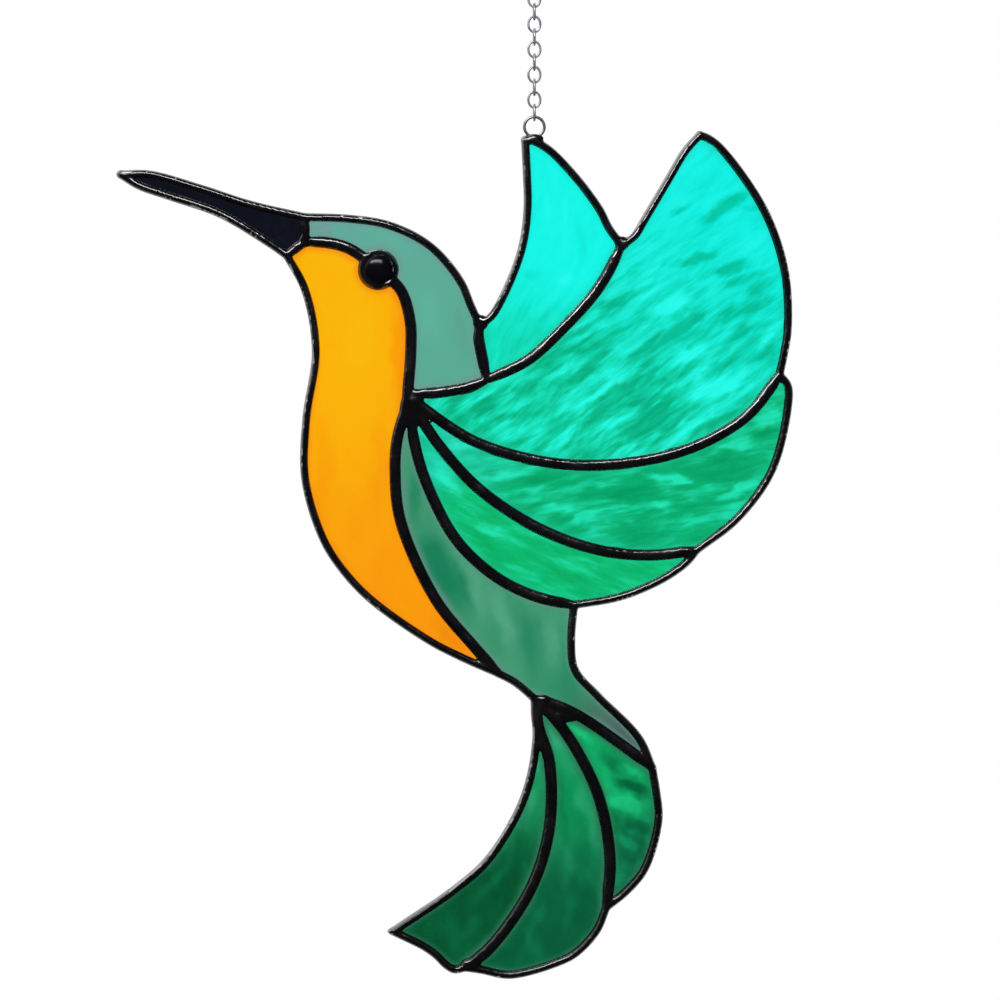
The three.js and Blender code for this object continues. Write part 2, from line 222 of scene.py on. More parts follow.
def place(points):
    """Points of the drawing as X and Z in millimetres."""
    points = np.array(points, float).reshape(-1, 2)
    right = points[:, 0] - JOINTS["eye"][0]
    down = points[:, 1] - JOINTS["eye"][1]
    return np.column_stack([EYE_X + right * DRAWN, EYE_Z - down * DRAWN])


def linear(code, alpha=1.0):
    """An sRGB hex colour as the linear values that a socket takes."""
    srgb = np.array([int(code[i:i + 2], 16) for i in (1, 3, 5)]) / 255
    rgb = np.where(srgb <= 0.04045, srgb / 12.92, ((srgb + 0.055) / 1.055) ** 2.4)
    return (*rgb.tolist(), alpha)


def color_property(name, what, code):
    """A colour that a user can change, from its sRGB hex value."""
    return FloatVectorProperty(
        name=name, description=what, subtype="COLOR", size=3, default=linear(code)[:3], min=0, max=1,
    )


# Body colours of the sheets of acrylic; each pane's lighter and darker places keep their ratio to them
BODY = {
    "beak": "#05060f",
    "crown": "#57a892",
    "breast": "#fda806",
    "wing": "#14d6b4",
    "rump": "#429c78",
    "tail": "#0b7a48",
}


class SolderSettings(bpy.types.PropertyGroup):
    seam_width: FloatProperty(
        name="Seam width", description="Width of the bead between two panes, in millimetres",
        default=2.8, min=1.5, max=6,
    )
    rim_width: FloatProperty(
        name="Rim width", description="Width of the bead round the outside, in millimetres",
        default=2.0, min=1.2, max=5,
    )
    bead_height: FloatProperty(
        name="Bead height", description="How far the bead stands off the panes, in millimetres",
        default=0.75, min=0.2, max=1.5,
    )
    color: color_property("Patina", "Colour of the patina on the solder", "#07070a")


class PaneSettings(bpy.types.PropertyGroup):
    ripple_depth: FloatProperty(
        name="Ripple depth", description="Depth of the water texture in the wings, in millimetres",
        default=0.3, min=0, max=1,
    )
    clarity: FloatProperty(
        name="Clarity", description="Share of the light that passes through a pane",
        default=1.0, min=0, max=1, subtype="FACTOR",
    )
    beak_color: color_property("Beak", "Colour of the beak's pane", BODY["beak"])
    crown_color: color_property("Crown", "Colour of the head and nape", BODY["crown"])
    breast_color: color_property("Breast", "Colour of the throat and breast", BODY["breast"])
    wing_color: color_property("Wings", "Colour of the wings' panes", BODY["wing"])
    rump_color: color_property("Rump", "Colour of the rump", BODY["rump"])
    tail_color: color_property("Tail", "Colour of the tail's panes", BODY["tail"])


class EyeSettings(bpy.types.PropertyGroup):
    radius: FloatProperty(
        name="Gem radius", description="Radius of the eye's gem, in millimetres",
        default=3.6, min=1, max=8,
    )
    rise: FloatProperty(
        name="Dome rise", description="How far the dome stands off its bezel, in millimetres",
        default=1.5, min=0.2, max=4,
    )


class ChainSettings(bpy.types.PropertyGroup):
    link_length: FloatProperty(
        name="Link length", description="Outside length of a chain link, in millimetres",
        default=4.5, min=2, max=12,
    )
    link_width: FloatProperty(
        name="Link width", description="Outside width of a chain link, in millimetres",
        default=3.6, min=1.5, max=10,
    )
    link_wire: FloatProperty(
        name="Link wire", description="Wire thickness of a chain link, in millimetres",
        default=0.6, min=0.2, max=2,
    )
    jump_ring_radius: FloatProperty(
        name="Jump ring radius",
        description="Radius of the jump ring at its wire's middle, in millimetres",
        default=2.5, min=1, max=8,
    )
    jump_ring_wire: FloatProperty(
        name="Jump ring wire", description="Wire thickness of the jump ring, in millimetres",
        default=0.75, min=0.3, max=2,
    )
    hanging_ring_inside: FloatProperty(
        name="Hanging ring inside", description="Inside diameter of the hanging ring, in millimetres",
        default=10, min=4, max=30,
    )
    hanging_ring_wire: FloatProperty(
        name="Hanging ring wire", description="Wire thickness of the hanging ring, in millimetres",
        default=1.0, min=0.4, max=3,
    )


class StageSettings(bpy.types.PropertyGroup):
    key_power: FloatProperty(
        name="Key light", description="Power of the soft light above the bird", default=2.5, min=0,
        unit="POWER",
    )
    sky_patch: FloatProperty(
        name="Sky patch",
        description="Brightness of the patch of sky up on the left that the solder mirrors",
        default=3.0, min=0, max=20,
    )
    camera_turn: FloatProperty(
        name="Camera turn", description="How far the camera stands round to the right",
        default=math.radians(-3), min=-math.pi / 2, max=math.pi / 2, subtype="ANGLE",
    )
    floor_drop: FloatProperty(
        name="Floor drop", description="How far the floor lies below the hanging point", default=0.6,
        min=0.3, max=3, unit="LENGTH",
    )


def add(tree, kind, inputs=None, **settings):
    """A node with its settings, and its inputs as plain values or as links from other sockets."""
    node = tree.nodes.new(kind)
    for key, value in settings.items():
        setattr(node, key, value)
    for key, value in (inputs or {}).items():
        if isinstance(value, bpy.types.NodeSocket):
            tree.links.new(value, node.inputs[key])
        else:
            node.inputs[key].default_value = value
    return node


def ramp(tree, factor, stops):
    """A colour ramp from (position, linear colour) stops, with straight blending in between."""
    node = add(tree, "ShaderNodeValToRGB", {"Fac": factor})
    elements = node.color_ramp.elements
    while len(elements) < len(stops):
        elements.new(0.5)
    for element, (position, color) in zip(elements, stops):
        element.position = position
        element.color = (*color[:3], 1)
    return node.outputs["Color"]


def blend(tree, factor, first, second):
    """One colour turning into another as the factor goes from 0 to 1."""
    node = add(tree, "ShaderNodeMix", data_type="RGBA")
    sockets = (node.inputs["Factor"], node.inputs[6], node.inputs[7])
    for socket, value in zip(sockets, (factor, first, second)):
        if isinstance(value, bpy.types.NodeSocket):
            tree.links.new(value, socket)
        else:
            socket.default_value = value
    return node.outputs[2]


def pattern_scale(size):
    """A noise texture's scale for spots of about this size in millimetres."""
    return 1 / (size * MM)


def new_material(name):
    """A material with its node tree and its main shader."""
    material = bpy.data.materials.new(name)
    material.use_nodes = True
    tree = material.node_tree
    shader = tree.nodes["Principled BSDF"]
    return material, tree, shader


def spline(points, spacing):
    """A centripetal Catmull-Rom curve through the points, cut at an even spacing.

    Knots lie apart by the square root of each chord. Each stretch is a cubic with the slopes
    (b-a)/ab - (c-a)/(ab+bc) + (c-b)/bc at its ends, and the ends are run on straight.
    """
    p = np.vstack([2 * points[0] - points[1], points, 2 * points[-1] - points[-2]])
    knot = np.sqrt(np.linalg.norm(np.diff(p, axis=0), axis=1))[:, None]
    before, here, after = knot[:-2], knot[1:-1], knot[2:]
    a, b, c, d = p[:-3], p[1:-2], p[2:-1], p[3:]
    leave = ((b - a) / before - (c - a) / (before + here) + (c - b) / here) * here
    arrive = ((c - b) / here - (d - b) / (here + after) + (d - c) / after) * here
    t = np.linspace(0, 1, 40, endpoint=False)[None, :, None]
    b, c, leave, arrive = (v[:, None, :] for v in (b, c, leave, arrive))
    curve = (
        (2 * t**3 - 3 * t**2 + 1) * b + (t**3 - 2 * t**2 + t) * leave
        + (3 * t**2 - 2 * t**3) * c + (t**3 - t**2) * arrive
    ).reshape(-1, 2)
    curve = np.vstack([curve, points[-1]])
    run = np.concatenate([[0], np.cumsum(np.linalg.norm(np.diff(curve, axis=0), axis=1))])
    even = np.linspace(0, run[-1], max(2, int(run[-1] / spacing) + 1))
    return np.column_stack([np.interp(even, run, curve[:, 0]), np.interp(even, run, curve[:, 1])])


def noise(x, z, size, seed):
    """Smooth value noise from -1 to 1: random values on a square lattice, eased in between."""
    table = np.random.default_rng(seed).uniform(-1, 1, (64, 64))
    u, v = x / size, z / size
    i, j = np.floor(u).astype(int), np.floor(v).astype(int)
    fu, fv = u - i, v - j
    fu, fv = fu * fu * fu * (fu * (6 * fu - 15) + 10), fv * fv * fv * (fv * (6 * fv - 15) + 10)
    i, j, i1, j1 = i % 64, j % 64, (i + 1) % 64, (j + 1) % 64
    low = table[i, j] * (1 - fu) + table[i1, j] * fu
    high = table[i, j1] * (1 - fu) + table[i1, j1] * fu
    return low * (1 - fv) + high * fv


def layered_noise(x, z, size, seed, octaves=3, gain=0.5):
    """Noise with finer noise on top, each layer half the size and a share of the strength."""
    total = sum(gain**k * noise(x, z, size / 2**k, seed + k) for k in range(octaves))
    return total / sum(gain**k for k in range(octaves))


def plane_grid(low, high, step):
    """A square grid over a window of the XZ plane: its X and Z as arrays."""
    x = np.arange(low[0], high[0] + step, step)
    z = np.arange(low[1], high[1] + step, step)
    return np.meshgrid(x, z, indexing="ij")


def read(field, grid, x, z):
    """The value of a grid's field between its points, by straight blending in both directions."""
    gx, gz = grid
    step = gx[1, 0] - gx[0, 0]
    u = np.clip((x - gx[0, 0]) / step, 0, gx.shape[0] - 1.001)
    v = np.clip((z - gz[0, 0]) / step, 0, gx.shape[1] - 1.001)
    i, j = u.astype(int), v.astype(int)
    fu, fv = u - i, v - j
    return (
        field[i, j] * (1 - fu) * (1 - fv) + field[i + 1, j] * fu * (1 - fv)
        + field[i, j + 1] * (1 - fu) * fv + field[i + 1, j + 1] * fu * fv
    )


def inside_cells(field):
    """Grid cells whose middle is above zero, without two that touch at a corner alone."""
    cells = (field[:-1, :-1] + field[1:, :-1] + field[:-1, 1:] + field[1:, 1:]) > 0
    for _ in range(4):
        a, b, c, d = cells[:-1, :-1], cells[1:, :-1], cells[:-1, 1:], cells[1:, 1:]
        crossed = (a & d & ~b & ~c) | (b & c & ~a & ~d)
        cells[:-1, :-1] |= crossed
        cells[1:, :-1] |= crossed
    return cells


def border_points(cells):
    """Grid points that have both kept and unkept cells round them."""
    padded = np.pad(cells, 1).astype(int)
    count = padded[:-1, :-1] + padded[1:, :-1] + padded[:-1, 1:] + padded[1:, 1:]
    return (count > 0) & (count < 4)


def slide_to_zero(x, z, points, field, grid):
    """Moves the points marked to where the field is zero, down its slope: p - f * f' / |f'|^2.

    No step is longer than a cell of the grid.
    """
    step = grid[0][1, 0] - grid[0][0, 0]
    slope_x, slope_z = np.gradient(field, step)
    px, pz = x[points], z[points]
    for _ in range(6):
        value = read(field, grid, px, pz)
        dx, dz = read(slope_x, grid, px, pz), read(slope_z, grid, px, pz)
        share = np.clip(value / np.maximum(dx**2 + dz**2, 1e-6), -step, step)
        px, pz = px - share * dx / np.maximum(1, abs(dx)), pz - share * dz / np.maximum(1, abs(dz))
    x[points], z[points] = px, pz


def relax(x, z, fixed, near):
    """Evens out the points marked near but not fixed, each to the mean of its four neighbours."""
    moving = near & ~fixed
    moving[0], moving[-1], moving[:, 0], moving[:, -1] = False, False, False, False
    for _ in range(3):
        for values in (x, z):
            mean = (
                np.roll(values, 1, 0) + np.roll(values, -1, 0)
                + np.roll(values, 1, 1) + np.roll(values, -1, 1)
            ) / 4
            values[moving] = mean[moving]


def layered_solid(x, z, depths, filled):
    """A closed mesh of plates between the layers, from front (first) to back (last).

    depths has one array of Y for each layer, and filled one array of cells for each space between
    two layers. A face stands wherever a filled cell meets an empty one.
    """
    layers = len(depths)
    points = np.arange(layers * x.size).reshape(layers, *x.shape)
    corners = np.stack(
        [points[:, :-1, :-1], points[:, 1:, :-1], points[:, 1:, 1:], points[:, :-1, 1:]], axis=-1
    )
    solid = np.pad(np.array(filled), 1)
    quads = []
    for layer in range(layers):
        ahead, behind = solid[layer, 1:-1, 1:-1], solid[layer + 1, 1:-1, 1:-1]
        quads.append(corners[layer][behind & ~ahead])
        quads.append(corners[layer][ahead & ~behind][:, ::-1])
    sides = ((0, 1, 0, -1), (1, 2, 1, 0), (2, 3, 0, 1), (3, 0, -1, 0))
    for space in range(layers - 1):
        own = solid[space + 1, 1:-1, 1:-1]
        for start, end, step_i, step_j in sides:
            n, m = own.shape
            beside = solid[space + 1, 1 + step_i:1 + step_i + n, 1 + step_j:1 + step_j + m]
            open_side = own & ~beside
            front, back = corners[space][open_side], corners[space + 1][open_side]
            quads.append(np.column_stack([front[:, end], front[:, start], back[:, start], back[:, end]]))
    quads = np.vstack(quads)
    used, faces = np.unique(quads, return_inverse=True)
    xyz = np.column_stack([
        np.tile(x.ravel(), layers)[used],
        np.concatenate([np.broadcast_to(depth, x.shape).ravel() for depth in depths])[used],
        np.tile(z.ravel(), layers)[used],
    ])
    return xyz, faces.reshape(-1, 4)


def new_piece(name, xyz, faces, material, slot, *nodes):
    """An object from points in millimetres, smooth but for its sharp edges, in place of CAD nodes."""
    mesh = bpy.data.meshes.new(name)
    mesh.from_pydata((xyz * MM).tolist(), [], faces.tolist())
    mesh.update()
    mesh.shade_smooth()
    mesh.set_sharp_from_angle(angle=SHARP_ANGLE)
    mesh.materials.append(material)
    piece = bpy.data.objects.new(name, mesh)
    bpy.context.collection.objects.link(piece)
    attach(piece, "root")
    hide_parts(*nodes)
    return piece


def outline_edges(node):
    """The edges round a pane's front face, from the frame, as pairs of X and Z in millimetres."""
    mesh = frame["nodes"][node].data
    mesh.calc_loop_triangles()
    points = np.array([vertex.co for vertex in mesh.vertices]) / MM
    corners = np.array([triangle.vertices for triangle in mesh.loop_triangles])
    depth = points[:, 1].min()
    front = corners[(abs(points[corners][:, :, 1] - depth) < 0.01).all(axis=1)]
    rounded = np.round(points[:, [0, 2]], 3)
    places, index = np.unique(rounded, axis=0, return_inverse=True)
    front = index.reshape(-1)[front]
    edges = np.sort(np.vstack([front[:, [0, 1]], front[:, [1, 2]], front[:, [2, 0]]]), axis=1)
    edges, count = np.unique(edges, axis=0, return_counts=True)
    return places[edges[count == 1]]


def outline_distance(edges, x, z):
    """How far points are outside an outline, and with a minus inside it.

    The distance is to the nearest edge, and a point is inside where a line to its right crosses an
    odd number of edges.
    """
    a, b = edges[:, 0], edges[:, 1]
    px, pz = x.reshape(-1, 1), z.reshape(-1, 1)
    along = b - a
    t = ((px - a[:, 0]) * along[:, 0] + (pz - a[:, 1]) * along[:, 1]) / (along**2).sum(axis=1)
    t = np.clip(t, 0, 1)
    far = np.hypot(px - a[:, 0] - t * along[:, 0], pz - a[:, 1] - t * along[:, 1]).min(axis=1)
    rises = (a[:, 1] > pz) != (b[:, 1] > pz)
    with np.errstate(divide="ignore", invalid="ignore"):
        crossing = a[:, 0] + (pz - a[:, 1]) * along[:, 0] / along[:, 1]
    inside = (rises & (px < crossing)).sum(axis=1) % 2 == 1
    return np.where(inside, -far, far).reshape(x.shape)


def bead_of_line(grid, path, half_width, end_width):
    """1 along a line's middle and 0 at its bead's edge: 1 - (distance / half width) squared.

    The half width eases from the end width to its own over the line's first and last 4 mm.
    """
    gx, gz = grid
    step = gx[1, 0] - gx[0, 0]
    a, b = path[:-1], path[1:]
    reach = math.ceil((2 * half_width + 1.2) / step)
    offset = np.arange(-reach, reach + 1)
    middle = (a + b) / 2
    run = np.cumsum(np.linalg.norm(b - a, axis=1))
    full = np.clip(np.minimum(run, run[-1] - run) / 4, 0, 1)
    half = (end_width + (half_width - end_width) * full * full * (3 - 2 * full))[:, None, None]
    i = np.round((middle[:, 0] - gx[0, 0]) / step).astype(int)[:, None, None] + offset[None, :, None]
    j = np.round((middle[:, 1] - gz[0, 0]) / step).astype(int)[:, None, None] + offset[None, None, :]
    i, j = np.broadcast_arrays(np.clip(i, 0, gx.shape[0] - 1), np.clip(j, 0, gx.shape[1] - 1))
    px, pz = gx[i, j], gz[i, j]
    along = (b - a)[:, None, None, :]
    ax, az = a[:, 0, None, None], a[:, 1, None, None]
    t = ((px - ax) * along[..., 0] + (pz - az) * along[..., 1]) / (along**2).sum(axis=-1)
    t = np.clip(t, 0, 1)
    far = np.hypot(px - ax - t * along[..., 0], pz - az - t * along[..., 1])
    bead = np.full(gx.shape, -9.0)
    np.maximum.at(bead, (i, j), 1 - (far / half) ** 2)
    return bead


def patina():
    """Tin solder under a black patina, waxed: near black, glossy, a little uneven to the touch."""
    material, tree, shader = new_material("black patina on solder")
    color = np.array(bpy.context.scene.suncatcher_solder.color)
    where = add(tree, "ShaderNodeTexCoord").outputs["Object"]
    # Patches where the patina took more or less, about 4 mm wide
    patches = add(
        tree, "ShaderNodeTexNoise", {"Vector": where, "Scale": pattern_scale(3.846), "Detail": 3.0}
    )
    shade = ramp(tree, patches.outputs["Fac"], [(0.35, color * 0.5), (0.62, color), (0.8, color * 2)])
    tree.links.new(shade, shader.inputs["Base Color"])
    # The wax is rubbed to a shine in places of about 7 mm, and less toward the tail
    rubbed = add(
        tree, "ShaderNodeTexNoise", {"Vector": where, "Scale": pattern_scale(6.667), "Detail": 2.0}
    )
    gloss = add(
        tree, "ShaderNodeMapRange",
        {"Value": rubbed.outputs["Fac"], "From Min": 0.4, "From Max": 0.62, "To Min": 0.1,
         "To Max": 0.24},
    )
    height = add(tree, "ShaderNodeSeparateXYZ", {"Vector": where}).outputs["Z"]
    toward_tail = add(
        tree, "ShaderNodeMapRange",
        {"Value": height, "From Min": -0.12, "From Max": -0.2, "To Min": 0.0, "To Max": 0.08},
    )
    gloss = add(
        tree, "ShaderNodeMath", {0: gloss.outputs["Result"], 1: toward_tail.outputs["Result"]},
        operation="ADD",
    )
    tree.links.new(gloss.outputs[0], shader.inputs["Roughness"])
    # The iron left the beads wavy every 2 mm, which breaks their highlights into dashes
    waves = add(
        tree, "ShaderNodeTexNoise", {"Vector": where, "Scale": pattern_scale(2.083), "Detail": 1.0}
    )
    bump = add(
        tree, "ShaderNodeBump", {"Height": waves.outputs["Fac"], "Strength": 0.3, "Distance": 0.4 * MM}
    )
    tree.links.new(bump.outputs["Normal"], shader.inputs["Normal"])
    shader.inputs["IOR"].default_value = 1.5
    return material


# How tightly beads that meet keep to their own form: the higher, the smaller the fillets between them
MEETING = 6.0
# How far apart the points along a solder line are, in millimetres
LINE_STEP = 0.8
# A seam's half width where it ends, as a share of the rim's width
SEAM_END = 0.55
# The ring of solder round the eye's gem: its width, how far it stands above the beads and how far it
# laps the gem, in millimetres, and the share of its width that is flat
BEZEL_WIDTH = 1.5
BEZEL_RISE = 0.3
BEZEL_LAP = 0.1
BEZEL_FLAT = 0.62
# How much of their width the beads lose and gain along their way, and the height of their lumps
WOBBLE = 0.05
LUMP_HEIGHT = 0.1
# How far the solder's groove for the panes clears them, in millimetres
GROOVE_CLEARANCE = 0.1
# How far the rim comes down over the panes' edges on the outside, from a pane's face, in millimetres,
# over which way out from the panes, and how far below it the groove starts
RIM_WRAP = 0.9
RIM_WRAP_OVER = 0.5
LEDGE_WRAP = 0.95
LEDGE_DROP = 0.02


def line_of(start, between, end):
    """A solder line's middle, from joint to joint."""
    return spline(place([JOINTS[start], *between, JOINTS[end]]), LINE_STEP)


def merged_beads(grid, settings, eye):
    """All the solder as one field, 1 along the beads' middles and 0 at their edges.

    It is the log of the sum of exp(MEETING * bead), divided by MEETING, which rounds off where beads
    meet. With it come the rim's share in that sum, and the rise of the pools and the bezel over the
    beads, weighed by it.
    """
    x, z = grid
    total = np.full(x.shape, math.exp(-3 * MEETING))
    rim_share = np.zeros(x.shape)
    rise = np.zeros(x.shape)
    for line in RIMS.values():
        half = settings.rim_width / 2
        weight = np.exp(MEETING * bead_of_line(grid, line_of(*line), half, half))
        total += weight
        rim_share += weight
    for line in SEAMS.values():
        # A seam stops a little inside the rim, so that it makes no knob on the outside
        path = line_of(*line)[1:-1]
        end_width = SEAM_END * settings.rim_width
        total += np.exp(MEETING * bead_of_line(grid, path, settings.seam_width / 2, end_width))
    for right_down, width, height, extra in POOLS.values():
        px, pz = place(right_down)[0]
        weight = np.exp(MEETING * (1 - ((x - px) / (width / 2)) ** 2 - ((z - pz) / (height / 2)) ** 2))
        total += weight
        rise += extra * weight
    from_eye = np.hypot(x - EYE_X, z - EYE_Z)
    off = (from_eye - eye.radius - BEZEL_WIDTH / 2) / (BEZEL_WIDTH / 2)
    weight = np.exp(MEETING * (1 - off ** 2))
    total += weight
    rise += BEZEL_RISE * weight
    wobble = 1 + WOBBLE * noise(x, z, 6.0, 11)
    return np.log(total) / MEETING * wobble, rim_share / total, rise / total


def outside_of_panes(x, z, near):
    """How far grid points are outside the nearest pane, worked out only where they are marked near."""
    outside = np.full(x.shape, 1.0)
    panes = [name for name in frame["nodes"] if name.startswith("pane_")]
    gaps = [outline_distance(outline_edges(name), x[near], z[near]) for name in panes]
    outside[near] = np.min(gaps, axis=0)
    return outside


class SUNCATCHER_OT_solder_lines(bpy.types.Operator):
    """Builds the network of black solder that holds the panes"""

    bl_idname = "suncatcher.solder_lines"
    bl_label = "Solder lines"

    def execute(self, context):
        settings = context.scene.suncatcher_solder
        eye = context.scene.suncatcher_eye
        low, high = (np.array(corner)[[0, 2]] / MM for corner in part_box("solder_lines"))
        grid = plane_grid(low - 2, high + 2, GRID_STEP)
        x, z = grid
        half_pane = thickness_of("pane_breast") / 2
        bead, rim_share, rise = merged_beads(grid, settings, eye)
        hole = (np.hypot(x - EYE_X, z - EYE_Z) - eye.radius + BEZEL_LAP) / BEZEL_WIDTH
        outside = outside_of_panes(x, z, bead > -0.8)
        field = np.minimum(bead, hole)
        groove = GROOVE_CLEARANCE - outside

        cells = inside_cells(field)
        grooved = cells & inside_cells(groove)
        border = border_points(cells)
        groove_border = border_points(grooved) & ~border
        px, pz = x.copy(), z.copy()
        slide_to_zero(px, pz, border, field, grid)
        slide_to_zero(px, pz, groove_border, groove, grid)
        relax(px, pz, border | groove_border, border_points(cells))

        # Across a bead its height is an arch: foot + (crest - foot) * the root of the field
        here = np.clip(read(bead, grid, px, pz), 0, 2)
        here[border & (read(hole, grid, px, pz) > 0.05)] = 0
        lip = np.hypot(px - EYE_X, pz - EYE_Z) < eye.radius + BEZEL_FLAT * BEZEL_WIDTH
        here[lip] = np.maximum(here[lip], 0.95)
        side = np.clip(read(outside, grid, px, pz) / RIM_WRAP_OVER, 0, 1) * read(rim_share, grid, px, pz)
        foot = half_pane - RIM_WRAP * side
        crest = half_pane + settings.bead_height + read(rise, grid, px, pz)
        lumps = LUMP_HEIGHT * layered_noise(px, pz, 4.0, 21)
        top = foot + (crest + lumps - foot) * np.sqrt(np.clip(here, 0, 1)) + 0.3 * np.clip(here - 1, 0, 1)
        ledge = half_pane - LEDGE_DROP - LEDGE_WRAP * side
        xyz, faces = layered_solid(
            px, pz, [-top, -ledge, ledge, top], [cells, cells & ~grooved, cells],
        )
        new_piece("solder_lines_beads", xyz, faces, patina(), "black_solder", "solder_lines")
        return {"FINISHED"}


# Each pane's sheet and finish, the colours of its dark, plain and light places where its shade starts
# and where it ends, the two ends of that shading in the drawing, and how marked its pattern is there
PANES = {
    "beak": (
        "beak", "black", ("#020308", "#05060f", "#0a0c18"), ("#020308", "#05060f", "#0a0c18"),
        ((2, 12), (45, 26)), (1, 1),
    ),
    "crown": (
        "crown", "opal", ("#6c9c96", "#60a698", "#58ae98"), ("#5c9f8b", "#57a88f", "#5eb29a"),
        ((52, 25), (84, 62)), (0.7, 0.7),
    ),
    "breast": (
        "breast", "opal", ("#fa9c05", "#fdb006", "#ffb90c"), ("#ee8a0a", "#f8980a", "#fda208"),
        ((52, 60), (76, 118)), (0.5, 0.8),
    ),
    "back_wing": (
        "wing", "ripple", ("#0ce0cc", "#13f1e2", "#2af6ee"), ("#0cc8a0", "#10dcb8", "#18f0d6"),
        ((105, 30), (97, 57)), (0.2, 0.6),
    ),
    "wing_upper": (
        "wing", "ripple", ("#00c3a0", "#10ecdf", "#2af8f0"), ("#05aa7a", "#12d2a6", "#24f8e0"),
        ((150, 8), (118, 78)), (0.25, 1),
    ),
    "wing_middle": (
        "wing", "ripple", ("#18b48e", "#20ceaa", "#30e8cc"), ("#029a60", "#0aae72", "#20e0b2"),
        ((82, 76), (102, 89)), (0.7, 0.65),
    ),
    "wing_lower": (
        "wing", "ripple", ("#10b080", "#14c498", "#28e4c4"), ("#08a45c", "#0bb76f", "#20dca4"),
        ((78, 84), (86, 95)), (0.7, 0.55),
    ),
    "rump": (
        "rump", "opal", ("#187e58", "#3e946e", "#55a482"), ("#3c4645", "#4c605c", "#586e69"),
        ((113, 136), (127, 151)), (1, 0.8),
    ),
    "tail_inner": (
        "tail", "cloud", ("#0c7a48", "#189a60", "#40ac80"), ("#034628", "#055731", "#0a6c42"),
        ((104, 158), (96, 184)), (1, 0.8),
    ),
    "tail_middle": (
        "tail", "cloud", ("#067a44", "#0e9056", "#30a473"), ("#045030", "#075c39", "#0c7048"),
        ((112, 164), (108, 192)), (1, 0.8),
    ),
    "tail_outer": (
        "tail", "cloud", ("#026038", "#0b9758", "#1ac67c"), ("#044a30", "#085f3b", "#10885a"),
        ((123, 162), (127, 182)), (1, 0.9),
    ),
}
# Painted shade: what each sheet's colour turns to along the solder, where less light gets in from behind
PAINTED_EDGE_SHADE = {
    "beak": "#05060f", "crown": "#6c9690", "breast": "#f08c14", "wing": "#24b892", "rump": "#5a8a7c",
    "tail": "#2c7054",
}
